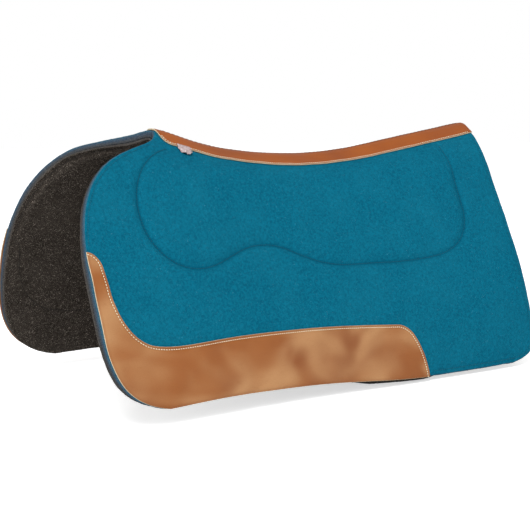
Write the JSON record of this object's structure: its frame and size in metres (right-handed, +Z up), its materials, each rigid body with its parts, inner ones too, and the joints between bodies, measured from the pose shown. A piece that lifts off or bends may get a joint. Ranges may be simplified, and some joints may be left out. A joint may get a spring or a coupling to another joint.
{
  "type": "western saddle pad",
  "caption": "Contoured felt saddle pad in two halves joined by a leather spine strip, with stitched inserts and wear leathers.",
  "frame": {"origin": "on the floor under the middle of the pad: centre of the bounding box in X and Y, lowest point of the hems in Z", "axes": "+X along the ridge towards the horse's tail, -Y the horse's left, +Z up"},
  "size_m": [0.712, 0.378, 0.3536],
  "materials": {
    "teal_felt": "matte",
    "charcoal_felt": "matte",
    "insert_foam": "matte",
    "tan_leather": "satin",
    "russet_leather": "satin",
    "cream_thread": "matte",
    "russet_thread": "matte",
    "teal_thread": "matte",
    "tag_leather": "satin"
  },
  "bodies": {
    "right_half": {"right_outer_felt": "teal_felt", "right_inner_felt": "charcoal_felt", "right_insert": "insert_foam", "right_wear_leather": "tan_leather", "right_wear_thread": "cream_thread", "right_insert_thread": "teal_thread", "right_front_edge_thread": "teal_thread", "right_rear_edge_thread": "teal_thread", "right_spine_thread": "cream_thread", "spine_leather": "russet_leather", "ridge_seam_thread": "russet_thread"},
    "left_half": {"left_outer_felt": "teal_felt", "left_inner_felt": "charcoal_felt", "left_insert": "insert_foam", "left_wear_leather": "tan_leather", "left_wear_thread": "cream_thread", "left_insert_thread": "teal_thread", "left_front_edge_thread": "teal_thread", "left_rear_edge_thread": "teal_thread", "left_spine_thread": "cream_thread", "maker_tag": "tag_leather"}
  },
  "joints": [
    {"name": "fold", "type": "hinge", "parent": "right_half", "child": "left_half", "pos_m": [0, 0, 0.32314], "axis": [1, 0, 0], "range_deg": [-30, 40], "deforming": ["spine_leather", "ridge_seam_thread"]}
  ]
}
